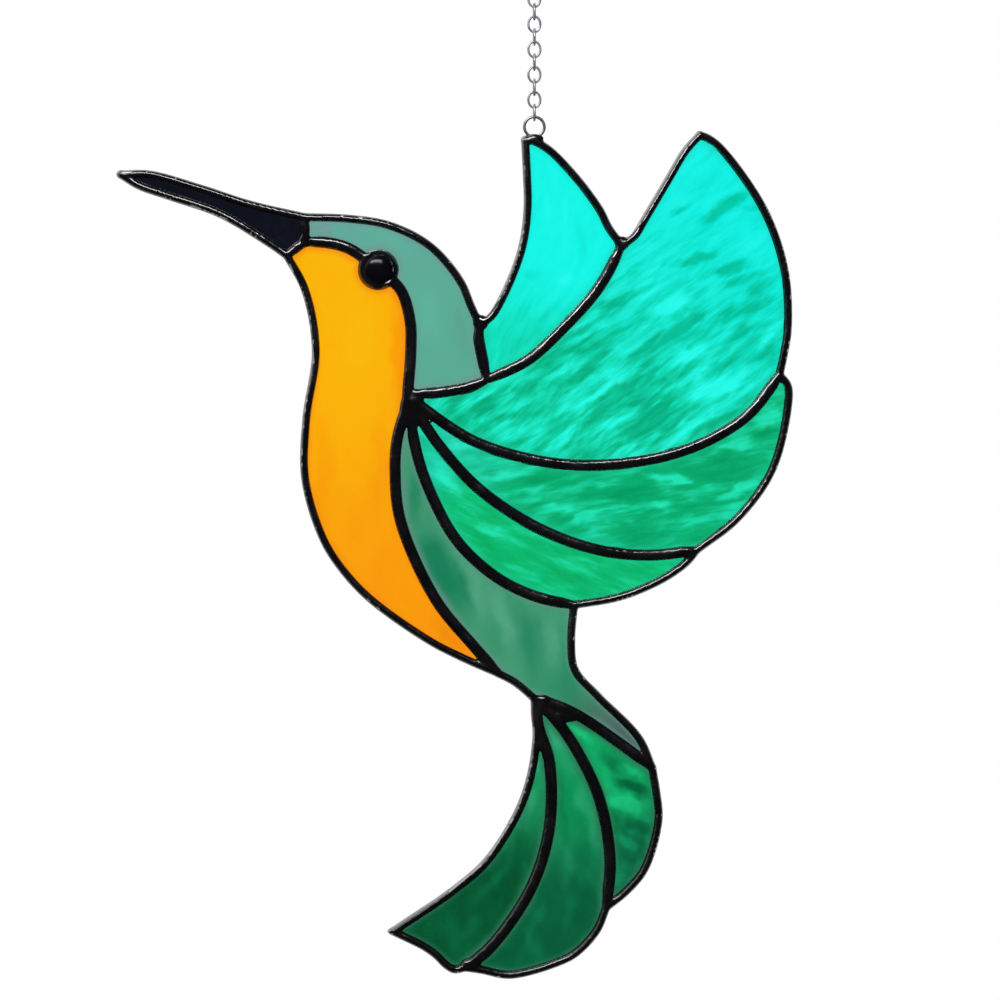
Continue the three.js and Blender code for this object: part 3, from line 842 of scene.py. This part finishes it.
# Marks in the sheets: two ends in the drawing, width in millimetres, and how much lighter each is
MARKS = {
    "breast": [
        ((70.4, 43), (71.2, 68), 4.4, -1), ((52, 70), (51, 100), 5, -0.4),
        ((66, 72), (66, 96), 4, -0.5), ((62, 44), (60, 60), 6, 0.4),
        ((76, 120), (92, 134), 5, -0.7),
    ],
    "crown": [
        ((50.4, 23), (52.4, 28), 5, -1.2), ((76, 38), (79, 54), 6, 0.5),
        ((84, 40), (88, 58), 2.4, -0.5), ((62, 24.4), (72, 28), 3, 0.3),
    ],
    "back_wing": [
        ((101, 36), (107, 36.4), 2.2, -0.4), ((110, 39), (114, 36), 2.4, 0.5),
        ((99, 50), (103, 42), 2.4, -0.4), ((104, 50), (110, 43), 2.0, -0.5),
        ((112, 15), (112, 30), 1.4, 0.3), ((107, 14), (108, 26), 1.6, 0.25),
        ((98, 56), (104, 51), 2.4, -0.3), ((115, 22), (117, 34), 1.8, -0.25),
    ],
    "wing_upper": [
        ((145.5, 23.5), (158.5, 14.5), 2.6, -1.1), ((137.5, 21.6), (143.2, 19.4), 1.4, -0.6),
        ((156, 20.2), (162, 18.4), 1.6, -0.5), ((137, 34.2), (151.5, 29.8), 2.1, -0.8),
        ((149, 36.4), (158.5, 32.6), 2.6, -1), ((150, 39.6), (163, 35), 1.9, -0.7),
        ((157, 41.5), (167, 36), 3, -0.6), ((117.5, 44.8), (128.5, 41.4), 2, -0.9),
        ((138, 47.4), (147, 43.4), 1.2, -0.5), ((139.5, 50.6), (148, 45), 2.2, -0.7),
        ((119, 52.2), (134, 45.4), 2.6, -0.8), ((111, 52.6), (121, 48.2), 2, -0.6),
        ((149, 47.4), (166, 41.6), 2.2, -0.6), ((126.5, 58.6), (146, 45.8), 3.1, -0.9),
        ((103, 61), (121, 50.8), 2.4, -0.6), ((107, 67), (125, 54.6), 2.6, -0.8),
        ((114, 74), (138.5, 55.4), 3.4, -1), ((96, 66), (108, 61.6), 2, -0.5),
        ((97, 75), (109, 69.4), 2.8, -0.6), ((127, 77), (141, 65.4), 5, -0.9),
        ((137, 73), (151, 65.8), 3, -0.8), ((144, 76.4), (161, 69.6), 3.4, -0.7),
        ((145.5, 62.6), (158, 55), 2.6, -0.8), ((156, 59), (167, 52), 3, -0.5),
        ((152, 52.6), (166, 46.8), 2, -0.5), ((88, 71), (95, 67.6), 2.4, -0.4),
        ((134.6, 46), (141.6, 41.2), 3, 0.9), ((128.5, 40.2), (135, 37.4), 1.6, 0.5),
        ((137.5, 58.4), (151, 53), 3.2, 0.9), ((142.5, 68.4), (157.5, 61), 3.8, 1.1),
        ((117, 80.4), (129, 71), 2.2, 0.8), ((104.5, 64.4), (117.5, 56.8), 2, 0.6),
        ((113.5, 70.6), (131, 59.6), 2.2, 0.8), ((94, 70.6), (107, 65.8), 2.6, 0.4),
        ((159.5, 55.4), (167, 47), 2, 0.7), ((111, 77), (121, 69.4), 2, 0.5),
        ((156, 66.4), (165, 59.8), 2, 0.4), ((122, 50.4), (136, 43.2), 1.4, 0.4),
        ((130, 62), (143, 52), 1.8, 0.4), ((85, 72), (96, 73), 2.6, 0.3),
        ((106, 67), (114, 63), 1.8, 0.9), ((126, 57), (134, 52.6), 1.8, 0.9),
        ((137, 45.6), (144, 42), 1.6, 0.7),
    ],
    "wing_middle": [
        ((91, 88), (106.5, 84.8), 2, 0.9), ((131.5, 86.6), (144, 87.2), 1.6, 1),
        ((148.5, 93), (161.5, 87.6), 2.2, 0.9), ((107, 94.8), (114.5, 94.6), 1.8, 0.7),
        ((133.5, 94), (139.5, 93.6), 1.6, 0.7), ((112.5, 98.6), (121.5, 94.6), 2, 0.8),
        ((98, 91), (108, 89), 1.8, 0.5), ((160, 74), (166, 68), 4.4, 0.7),
        ((150, 80), (160, 78), 1.6, 0.4), ((118, 90), (127, 87.4), 1.6, 0.4),
        ((140, 99), (149, 96), 2, 0.5), ((122, 91.6), (134, 90.6), 3, -0.5),
        ((142, 86), (156, 81.6), 4.4, -0.8), ((125, 101), (137, 99), 4.2, -0.6),
        ((159, 75.8), (167, 75), 1.2, -0.6), ((146, 88), (158, 84.4), 2.4, -0.5),
        ((102, 88), (116, 87), 2.2, -0.5), ((108, 97.6), (116, 98), 2, -0.4),
    ],
    "wing_lower": [
        ((79.5, 86), (86.2, 91), 2, 0.8), ((89, 98.8), (100, 102.2), 2, 0.9),
        ((96, 96.6), (108, 103), 1.8, 0.4), ((110, 107), (124, 109), 2.2, 0.3),
        ((84, 97), (96, 107), 2, -0.4), ((104, 110.6), (120, 113.6), 2.6, -0.4),
        ((122, 111), (136, 109.6), 2.2, -0.3),
    ],
    "rump": [
        ((77, 101), (86, 121), 8.5, -1.2), ((74.6, 84), (74, 99), 3, -0.5),
        ((87, 108), (93, 124), 3.6, 0.4), ((94, 113), (99, 130), 3.6, 0.8),
        ((101.4, 117), (103.8, 137), 2.4, -0.2), ((107, 119), (109.5, 136), 3.6, 0.4),
        ((111.6, 122), (112, 138), 2, -0.3), ((84, 106), (90, 122), 2, -0.3),
    ],
    "tail_inner": [
        ((104.6, 152), (104.4, 161), 2.6, 0.9), ((104.6, 164), (102, 172), 3, 0.5),
        ((100.6, 171), (96, 181), 2.4, 0.5), ((98, 184), (90, 193), 2, 0.6),
        ((93, 196), (84, 203), 2.2, 0.4), ((101.6, 180), (97, 190), 2.4, -0.5),
    ],
    "tail_middle": [
        ((108.6, 148), (111, 155), 3, 0.9), ((115.4, 163), (116.6, 172), 3, 0.5),
        ((111, 160), (112, 178), 2, -0.5), ((118.6, 168), (119.6, 184), 2.2, 0.4),
        ((114, 176), (112, 190), 2.4, 0.4), ((108, 192), (101, 204), 2, 0.5),
        ((116, 188), (111, 202), 2.6, 0.5), ((104, 198), (97, 208), 2, -0.4),
    ],
    "tail_outer": [
        ((120.4, 156.4), (127, 159.6), 2.6, -0.6), ((123.6, 162.4), (133.4, 166.4), 2.4, -0.9),
        ((121.4, 167.2), (133, 169.6), 2.6, 1), ((126, 172.2), (134.4, 175.2), 2.6, -0.9),
        ((124.6, 176), (131, 181), 2.6, 0.7), ((126, 184), (124.4, 190), 2.4, 0.3),
        ((112, 147.6), (119, 153), 2.6, 0.7), ((124.6, 157.6), (131, 162), 1.6, 0.5),
    ],
}
# Which way the streaks of the rippled sheets run, in degrees from level
RUN = {"wing_upper": 36, "back_wing": 62, "wing_middle": 10, "wing_lower": -22}
# Each finish's fine pattern: how far it is drawn out each way, how wide its streaks or spots are in
# millimetres, and how strongly it shows
GRAIN = {
    "ripple": ((5, 1, 1), 1.786, 0.26),
    "cloud": ((1, 1, 2), 3.03, 0.15),
    "opal": ((1, 1, 3), 3.846, 0.05),
    "black": ((1, 1, 1), 2.5, 0.1),
}
# How deep each finish is pressed into the sheet's face, in millimetres; the ripple's depth is a setting
PRESSED = {"cloud": 0.12, "opal": 0.05, "black": 0.03}
# The two faces of a sheet turn back a twelfth of the light, and the dye is that much lighter than it
# looks
FACE_LOSS = 1.087


def acrylic(name):
    """Cast acrylic sheet, dyed through: glossy faces, and light from behind glows in its colour.

    Its colour goes from the upper shades to the lower ones by its shading, and in each from dark to
    light by how thin the sheet is. A user's colour takes the place of the sheet's body colour, and the
    others keep their ratio to it.
    """
    sheet, finish, upper, lower, _, strength = PANES[name]
    drawn_out, size, shown = GRAIN[finish]
    settings = bpy.context.scene.suncatcher_panes
    ratio = FACE_LOSS * np.array(getattr(settings, f"{sheet}_color")) / np.array(linear(BODY[sheet])[:3])
    material, tree, shader = new_material(f"cast acrylic {name.replace('_', ' ')}")
    where = add(tree, "ShaderNodeTexCoord").outputs["Object"]
    tone, fall, edge = (
        add(tree, "ShaderNodeAttribute", attribute_name=key).outputs["Fac"]
        for key in ("tone", "fall", "edge")
    )
    turned = add(
        tree, "ShaderNodeMapping",
        {"Vector": where, "Rotation": (0, -math.radians(RUN.get(name, 0)), 0), "Scale": drawn_out},
        vector_type="TEXTURE",
    )
    wisps = add(
        tree, "ShaderNodeTexNoise",
        {"Vector": turned.outputs["Vector"], "Scale": pattern_scale(size), "Detail": 2.0,
         "Distortion": 0.8},
    )
    reach = shown * strength[1]
    fine = add(
        tree, "ShaderNodeMapRange",
        {"Value": wisps.outputs["Fac"], "From Min": 0.4, "From Max": 0.6, "To Min": -reach,
         "To Max": reach},
    )
    marked = add(
        tree, "ShaderNodeMapRange",
        {"Value": fall, "From Min": 0.0, "From Max": 1.0, "To Min": 0.3, "To Max": 1.0},
    )
    fine = add(
        tree, "ShaderNodeMath", {0: fine.outputs["Result"], 1: marked.outputs["Result"]},
        operation="MULTIPLY",
    )
    tone = add(tree, "ShaderNodeMath", {0: tone, 1: fine.outputs[0]}, operation="ADD").outputs[0]
    shades = [
        ramp(
            tree, tone,
            [
                (at, np.minimum(np.array(linear(code)[:3]) * ratio, 1))
                for at, code in zip((0, 0.5, 1), codes)
            ],
        )
        for codes in (upper, lower)
    ]
    shade = blend(tree, fall, shades[0], shades[1])
    # Painted shade: along the solder the colour turns to the sheet's edge colour, where less light gets in
    # from behind
    border = (*(np.minimum(np.array(linear(PAINTED_EDGE_SHADE[sheet])[:3]) * ratio, 1)).tolist(), 1)
    shade = blend(tree, edge, shade, border)
    tree.links.new(shade, shader.inputs["Base Color"])
    shader.inputs["Roughness"].default_value = 0.12
    shader.inputs["IOR"].default_value = 1.49
    shader.inputs["Transmission Weight"].default_value = 0.0 if finish == "black" else settings.clarity
    return material


def pane_fall(name, x, z):
    """How far a point is along its pane's shading, eased from 0 at the start to 1 at the end."""
    start, end = place(PANES[name][4])
    along = end - start
    t = ((x - start[0]) * along[0] + (z - start[1]) * along[1]) / (along**2).sum()
    t = np.clip(t, 0, 1)
    return t * t * (3 - 2 * t)


def pane_tone(name, x, z):
    """How thin, and so how light, a pane is at each point, from 0 to 1 with 0.5 for its plain places.

    The marks are lenses that fade out across their width and towards their ends, drawn on a plane
    that noise has bent a little, over streaks or clouds of noise.
    """
    finish, strength = PANES[name][1], PANES[name][5]
    fall = pane_fall(name, x, z)
    strength = strength[0] + (strength[1] - strength[0]) * fall
    if finish == "ripple":
        turn = math.radians(RUN[name])
        along = x * math.cos(turn) + z * math.sin(turn)
        across = z * math.cos(turn) - x * math.sin(turn)
        bend = 1.6 * noise(along, across, 14.0, 5)
        pattern = 0.7 * layered_noise(along / 4, across + bend, 2.4, 31, 3, 0.7)
    elif finish == "cloud":
        pattern = 0.42 * layered_noise(x + z / 2, z / 2, 6.0, 41, 3)
    else:
        pattern = 0.3 * layered_noise(x, z / 1.6, 9.0, 51, 2)
    marks = 0
    bent_x = x + 0.6 * noise(x, z, 4.0, 71) + 0.35 * noise(x, z, 1.5, 73)
    bent_z = z + 0.6 * noise(x, z, 4.0, 72) + 0.35 * noise(x, z, 1.5, 74)
    for first, second, width, lighter in MARKS.get(name, []):
        a, b = place([first, second])
        middle, half = (a + b) / 2, (b - a) / 2
        length = np.hypot(*half)
        t = ((bent_x - middle[0]) * half[0] + (bent_z - middle[1]) * half[1]) / length**2
        off = ((bent_z - middle[1]) * half[0] - (bent_x - middle[0]) * half[1]) / length
        fade = abs(off / (0.55 * width)) ** 3 + abs(t / 0.85) ** 3
        marks = marks + 0.6 * lighter * np.exp(-fade)
    return np.clip(0.5 + strength * pattern + marks, 0, 1)


def painted_edge_shade(finish, inside):
    """How far a pane's colour turns to the edge's: share * (1.5 - inside / 1.7)^2, from 1 down to 0.

    The solder covers the first millimetre or so, and this painted shade fades out 2.5 mm in.
    """
    share = 0.35 if finish == "ripple" else 0.8
    return share * np.clip(1.5 - inside / 1.7, 0, 1) ** 2


class SUNCATCHER_OT_panes(bpy.types.Operator):
    """Builds the eleven acrylic panes, with the water texture of the wings"""

    bl_idname = "suncatcher.panes"
    bl_label = "Acrylic panes"

    def execute(self, context):
        settings = context.scene.suncatcher_panes
        slots = {row["node"]: row["material_slot"] for row in frame["record"]["subparts"]}
        for name, (_, finish, *_) in PANES.items():
            node = f"pane_{name}"
            edges = outline_edges(node)
            low, high = edges.reshape(-1, 2).min(axis=0), edges.reshape(-1, 2).max(axis=0)
            grid = plane_grid(low - 1.5, high + 1.5, GRID_STEP)
            x, z = grid
            field = -outline_distance(edges, x, z)
            cells = inside_cells(field)
            border = border_points(cells)
            px, pz = x.copy(), z.copy()
            slide_to_zero(px, pz, border, field, grid)
            relax(px, pz, border, border_points(cells))
            half = thickness_of(node) / 2
            tone = pane_tone(name, px, pz)
            depth = PRESSED.get(finish, settings.ripple_depth)
            front = half - depth * tone
            back = half - 0.5 * depth * (0.5 + 0.5 * layered_noise(px, pz, 5.0, 61))
            xyz, faces = layered_solid(px, pz, [-front, back], [cells])
            piece = new_piece(f"{node}_sheet", xyz, faces, acrylic(name), slots[node], node)
            # The edge attribute carries the painted shade along the solder
            for key, values in (
                ("tone", pane_tone(name, xyz[:, 0], xyz[:, 2])),
                ("fall", pane_fall(name, xyz[:, 0], xyz[:, 2])),
                ("edge", painted_edge_shade(finish, read(field, grid, xyz[:, 0], xyz[:, 2]))),
            ):
                layer = piece.data.attributes.new(key, "FLOAT", "POINT")
                layer.data.foreach_set("value", values.astype(np.float32))
        return {"FINISHED"}


def tube(path, normals, radius, sides):
    """A closed tube round a closed path in a plane: path + radius * (cos * outward + sin * upward)."""
    turn = np.linspace(0, 2 * math.pi, sides, endpoint=False)
    out = normals[:, None, :] * np.cos(turn)[None, :, None]
    up = np.array([0, 1, 0]) * np.sin(turn)[None, :, None]
    thick = np.broadcast_to(np.asarray(radius, float).reshape(-1, 1, 1), (len(path), 1, 1))
    xyz = path[:, None, :] + thick * (out + up)
    i = np.arange(len(path))[:, None]
    j = np.arange(sides)[None, :]
    i1, j1 = (i + 1) % len(path), (j + 1) % sides
    faces = np.stack([i * sides + j, i * sides + j1, i1 * sides + j1, i1 * sides + j], axis=-1)
    return xyz.reshape(-1, 3), faces.reshape(-1, 4)


def oval(half_width, half_height, count):
    """An ellipse in the XZ plane, with its outward directions: cos / width and sin / height."""
    turn = np.linspace(0, 2 * math.pi, count, endpoint=False) + math.pi / count
    path = np.column_stack([half_width * np.cos(turn), np.zeros(count), half_height * np.sin(turn)])
    normals = np.column_stack([np.cos(turn) / half_width, np.zeros(count), np.sin(turn) / half_height])
    return path, normals / np.linalg.norm(normals, axis=1)[:, None]


# How many points go round a wire, and along a link, the jump ring and the hanging ring
WIRE_SIDES = 14
LINK_POINTS = 40
JUMP_RING_POINTS = 64
HANGING_RING_POINTS = 96


def plated_wire(name, dark, light, metallic):
    """Steel wire with a dark plating, rubbed lighter where it is handled and where links rub."""
    material, tree, shader = new_material(name)
    where = add(tree, "ShaderNodeTexCoord").outputs["Object"]
    wear = add(
        tree, "ShaderNodeTexNoise", {"Vector": where, "Scale": pattern_scale(1.429), "Detail": 3.0}
    )
    shade = ramp(tree, wear.outputs["Fac"], [(0.3, linear(dark)), (0.7, linear(light))])
    tree.links.new(shade, shader.inputs["Base Color"])
    shader.inputs["Metallic"].default_value = metallic
    shader.inputs["Roughness"].default_value = 0.34
    return material


def wire_piece(name, path, normals, wire, centre, turned, material, node):
    """A wire ring or link, brought to its place, a quarter turn round Z where its CAD node is."""
    xyz, faces = tube(path, normals, wire / 2, WIRE_SIDES)
    if turned:
        xyz = np.column_stack([xyz[:, 1], xyz[:, 0], xyz[:, 2]])
        faces = faces[:, ::-1]
    return new_piece(name, xyz + centre, faces, material, "gunmetal_wire", node)


class SUNCATCHER_OT_chain(bpy.types.Operator):
    """Builds the jump ring, the chain's links and the hanging ring"""

    bl_idname = "suncatcher.chain"
    bl_label = "Chain and rings"

    def execute(self, context):
        settings = context.scene.suncatcher_chain
        material = plated_wire("gunmetal plated ring wire", "#4a4c50", "#77797f", 0.85)
        path, normals = oval(settings.jump_ring_radius, settings.jump_ring_radius, JUMP_RING_POINTS)
        wire_piece("jump_ring_wire", path, normals, settings.jump_ring_wire, middle_of("jump_ring"),
                   False, material, "jump_ring")
        half_width = (settings.link_width - settings.link_wire) / 2
        half_height = (settings.link_length - settings.link_wire) / 2
        chain = plated_wire("worn plated chain wire", "#4a4b50", "#808186", 0.5)
        links = sorted(name for name in frame["nodes"] if name.startswith("chain_link_"))
        for node in links:
            low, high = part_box(node)
            path, normals = oval(half_width, half_height, LINK_POINTS)
            wire_piece(f"{node}_wire", path, normals, settings.link_wire, middle_of(node),
                       high.y - low.y > high.x - low.x, chain, node)
        radius = (settings.hanging_ring_inside + settings.hanging_ring_wire) / 2
        path, normals = oval(radius, radius, HANGING_RING_POINTS)
        wire_piece("hanging_ring_wire", path, normals, settings.hanging_ring_wire,
                   middle_of("hanging_ring"), False, material, "hanging_ring")
        return {"FINISHED"}


# How many points go round the gem, how many rings its dome has, its back's bevel in millimetres, and
# how wide the flat back is as a share of the gem
GEM_SIDES = 64
DOME_RINGS = 19
BACK_BEVEL = 0.3
BACK_SHARE = 0.9


def cabochon():
    """Black glass or acrylic, polished: near black, with one small soft highlight."""
    material, tree, shader = new_material("polished black cabochon")
    shader.inputs["Base Color"].default_value = linear("#040406")
    shader.inputs["Roughness"].default_value = 0.16
    shader.inputs["Specular IOR Level"].default_value = 0.1
    return material


class SUNCATCHER_OT_eye(bpy.types.Operator):
    """Builds the eye's domed gem"""

    bl_idname = "suncatcher.eye"
    bl_label = "Eye gem"

    def execute(self, context):
        settings = context.scene.suncatcher_eye
        low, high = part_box("eye_gem")
        radius, front, back = settings.radius, low.y / MM, high.y / MM
        # Rings from the back to the front, the dome's at radius * cos and rise * sin of an arc's angle
        arc = np.linspace(0, math.pi / 2, DOME_RINGS + 1)[:-1]
        ring_radius = np.concatenate([[radius * BACK_SHARE, radius], radius * np.cos(arc)])
        ring_depth = np.concatenate([
            [back, back - BACK_BEVEL], front + settings.rise - settings.rise * np.sin(arc),
        ])
        turn = np.linspace(0, 2 * math.pi, GEM_SIDES, endpoint=False)
        rings = np.stack([
            EYE_X + ring_radius[:, None] * np.cos(turn),
            np.broadcast_to(ring_depth[:, None], (len(ring_depth), GEM_SIDES)),
            EYE_Z + ring_radius[:, None] * np.sin(turn),
        ], axis=-1).reshape(-1, 3)
        xyz = np.vstack([rings, [EYE_X, back, EYE_Z], [EYE_X, front, EYE_Z]])
        first, j = np.arange(len(ring_radius) - 1)[:, None] * GEM_SIDES, np.arange(GEM_SIDES)[None, :]
        j1 = (j + 1) % GEM_SIDES
        quads = np.stack(
            [first + j, first + j1, first + GEM_SIDES + j1, first + GEM_SIDES + j], axis=-1
        ).reshape(-1, 4)
        j, j1, last = j.ravel(), j1.ravel(), (len(ring_radius) - 1) * GEM_SIDES
        middle = np.full(GEM_SIDES, len(rings))
        fans = np.vstack([
            np.column_stack([j1, j, middle]), np.column_stack([last + j, last + j1, middle + 1]),
        ])
        faces = np.empty(len(quads) + len(fans), object)
        faces[:] = [*quads.tolist(), *fans.tolist()]
        new_piece("eye_gem_dome", xyz, faces, cabochon(), "eye_black", "eye_gem")
        return {"FINISHED"}


# The photograph's framing, in metres: what the camera looks at, from how far, and how wide it sees there
AIM = np.array([-0.0086, 0, -0.139925])
CAMERA_DISTANCE = 1.4
VIEW_WIDTH = 0.25
SENSOR_WIDTH = 36
FLOOR_RADIUS = 3.6
# The lamp: its place, what it points at, and its length and width, in metres
LAMP_PLACE = np.array([-0.1, -0.27, 0.12])
LAMP_AIM = np.array([-0.03, 0, -0.1])
LAMP_SIZE = (0.3, 0.09)
# How bright the white surroundings are to matt things, and to mirrors in front of the bird
MATT_LIGHT = 0.6
FRONT_LIGHT = 0.03
# Which way the bright patch lies that the solder mirrors
PATCH_WAY = Vector((-0.68, 0.25, 0.68)).normalized()


def pale_floor():
    """Matt paint on board: an even, barely warm white with no shine."""
    material, tree, shader = new_material("pale matte floor")
    shader.inputs["Base Color"].default_value = linear("#efeeeb")
    shader.inputs["Roughness"].default_value = 0.9
    return material


def white_surroundings(patch_light):
    """White behind and through the panes, a little dimmer on matt things, and for what mirrors dark
    in front of the bird, but for a soft bright patch up on the left, and white behind it."""
    world = bpy.data.worlds.new("white surroundings")
    world.use_nodes = True
    tree = world.node_tree
    background = tree.nodes["Background"]
    way = add(tree, "ShaderNodeTexCoord").outputs["Generated"]
    toward = add(tree, "ShaderNodeVectorMath", {0: way, 1: PATCH_WAY}, operation="DOT_PRODUCT")
    patch = add(
        tree, "ShaderNodeMapRange",
        {"Value": toward.outputs["Value"], "From Min": 0.55, "From Max": 0.98, "To Min": 0.0,
         "To Max": patch_light},
        interpolation_type="SMOOTHSTEP",
    )
    depth = add(tree, "ShaderNodeSeparateXYZ", {"Vector": way}).outputs["Y"]
    behind = add(
        tree, "ShaderNodeMapRange",
        {"Value": depth, "From Min": 0.1, "From Max": 0.8, "To Min": FRONT_LIGHT, "To Max": 1.0},
        interpolation_type="SMOOTHSTEP",
    )
    mirrored = add(
        tree, "ShaderNodeMath", {0: patch.outputs["Result"], 1: behind.outputs["Result"]},
        operation="ADD",
    )
    ray = add(tree, "ShaderNodeLightPath")
    seen = add(
        tree, "ShaderNodeMath",
        {0: ray.outputs["Is Camera Ray"], 1: ray.outputs["Is Transmission Ray"]}, operation="MAXIMUM",
    )
    matt = add(
        tree, "ShaderNodeMath", {0: ray.outputs["Is Diffuse Ray"], 1: MATT_LIGHT}, operation="MULTIPLY"
    )
    plain = add(tree, "ShaderNodeMath", {0: seen.outputs[0], 1: matt.outputs[0]}, operation="MAXIMUM")
    light = add(
        tree, "ShaderNodeMix", {"Factor": plain.outputs[0], "A": mirrored.outputs[0], "B": 1.0}
    )
    tree.links.new(light.outputs["Result"], background.inputs["Strength"])
    background.inputs["Color"].default_value = (1, 1, 1, 1)
    return world


def point_at(direction):
    """The turn that makes a camera or lamp, which look down their own -Z, look along a direction."""
    return Vector(direction).to_track_quat("-Z", "Y").to_euler()


class SUNCATCHER_OT_stage(bpy.types.Operator):
    """Sets up the pale floor, the soft lights, the white surroundings and the camera"""

    bl_idname = "suncatcher.stage"
    bl_label = "Stage, light and camera"

    def execute(self, context):
        settings = context.scene.suncatcher_stage
        scene = context.scene
        scene.view_settings.view_transform = "Standard"
        bpy.ops.mesh.primitive_circle_add(
            vertices=96, radius=FLOOR_RADIUS, fill_type="NGON", location=(0, 0, -settings.floor_drop)
        )
        floor = context.object
        floor.name = "pale_floor"
        floor.visible_glossy = False
        floor.data.materials.append(pale_floor())
        scene.world = white_surroundings(settings.sky_patch)

        lamp = bpy.data.lights.new("soft strip light above", "AREA")
        lamp.shape = "RECTANGLE"
        lamp.size, lamp.size_y = LAMP_SIZE
        lamp.energy = settings.key_power
        holder = bpy.data.objects.new("soft strip light above", lamp)
        holder.location = LAMP_PLACE
        holder.rotation_euler = point_at(LAMP_AIM - LAMP_PLACE)
        holder.visible_camera = False
        context.collection.objects.link(holder)

        camera = bpy.data.cameras.new("camera")
        camera.sensor_width = SENSOR_WIDTH
        camera.lens = SENSOR_WIDTH * CAMERA_DISTANCE / VIEW_WIDTH
        view = bpy.data.objects.new("camera", camera)
        turn = settings.camera_turn
        view.location = AIM + CAMERA_DISTANCE * np.array([math.sin(turn), -math.cos(turn), 0])
        view.rotation_euler = point_at(AIM - np.array(view.location))
        context.collection.objects.link(view)
        scene.camera = view
        return {"FINISHED"}


class SUNCATCHER_PT_panel(bpy.types.Panel):
    bl_label = "Suncatcher"
    bl_idname = "SUNCATCHER_PT_panel"
    bl_space_type = "VIEW_3D"
    bl_region_type = "UI"
    bl_category = "Suncatcher"

    def draw(self, context):
        for operator, group in BUILDERS:
            box = self.layout.box()
            box.operator(operator.bl_idname)
            settings = getattr(context.scene, group)
            for key in settings.__annotations__:
                box.prop(settings, key)


BUILDERS = (
    (SUNCATCHER_OT_solder_lines, "suncatcher_solder"),
    (SUNCATCHER_OT_panes, "suncatcher_panes"),
    (SUNCATCHER_OT_eye, "suncatcher_eye"),
    (SUNCATCHER_OT_chain, "suncatcher_chain"),
    (SUNCATCHER_OT_stage, "suncatcher_stage"),
)
SETTINGS = {
    "suncatcher_solder": SolderSettings,
    "suncatcher_panes": PaneSettings,
    "suncatcher_eye": EyeSettings,
    "suncatcher_chain": ChainSettings,
    "suncatcher_stage": StageSettings,
}


def register():
    for group in SETTINGS.values():
        bpy.utils.register_class(group)
    for name, group in SETTINGS.items():
        setattr(bpy.types.Scene, name, PointerProperty(type=group))
    for operator, _ in BUILDERS:
        bpy.utils.register_class(operator)
    bpy.utils.register_class(SUNCATCHER_PT_panel)


def unregister():
    bpy.utils.unregister_class(SUNCATCHER_PT_panel)
    for operator, _ in reversed(BUILDERS):
        bpy.utils.unregister_class(operator)
    for name in SETTINGS:
        delattr(bpy.types.Scene, name)
    for group in reversed(SETTINGS.values()):
        bpy.utils.unregister_class(group)


def main():
    register()
    bpy.ops.suncatcher.solder_lines()
    bpy.ops.suncatcher.panes()
    bpy.ops.suncatcher.eye()
    bpy.ops.suncatcher.chain()
    bpy.ops.suncatcher.stage()


if __name__ == "__main__":
    main()
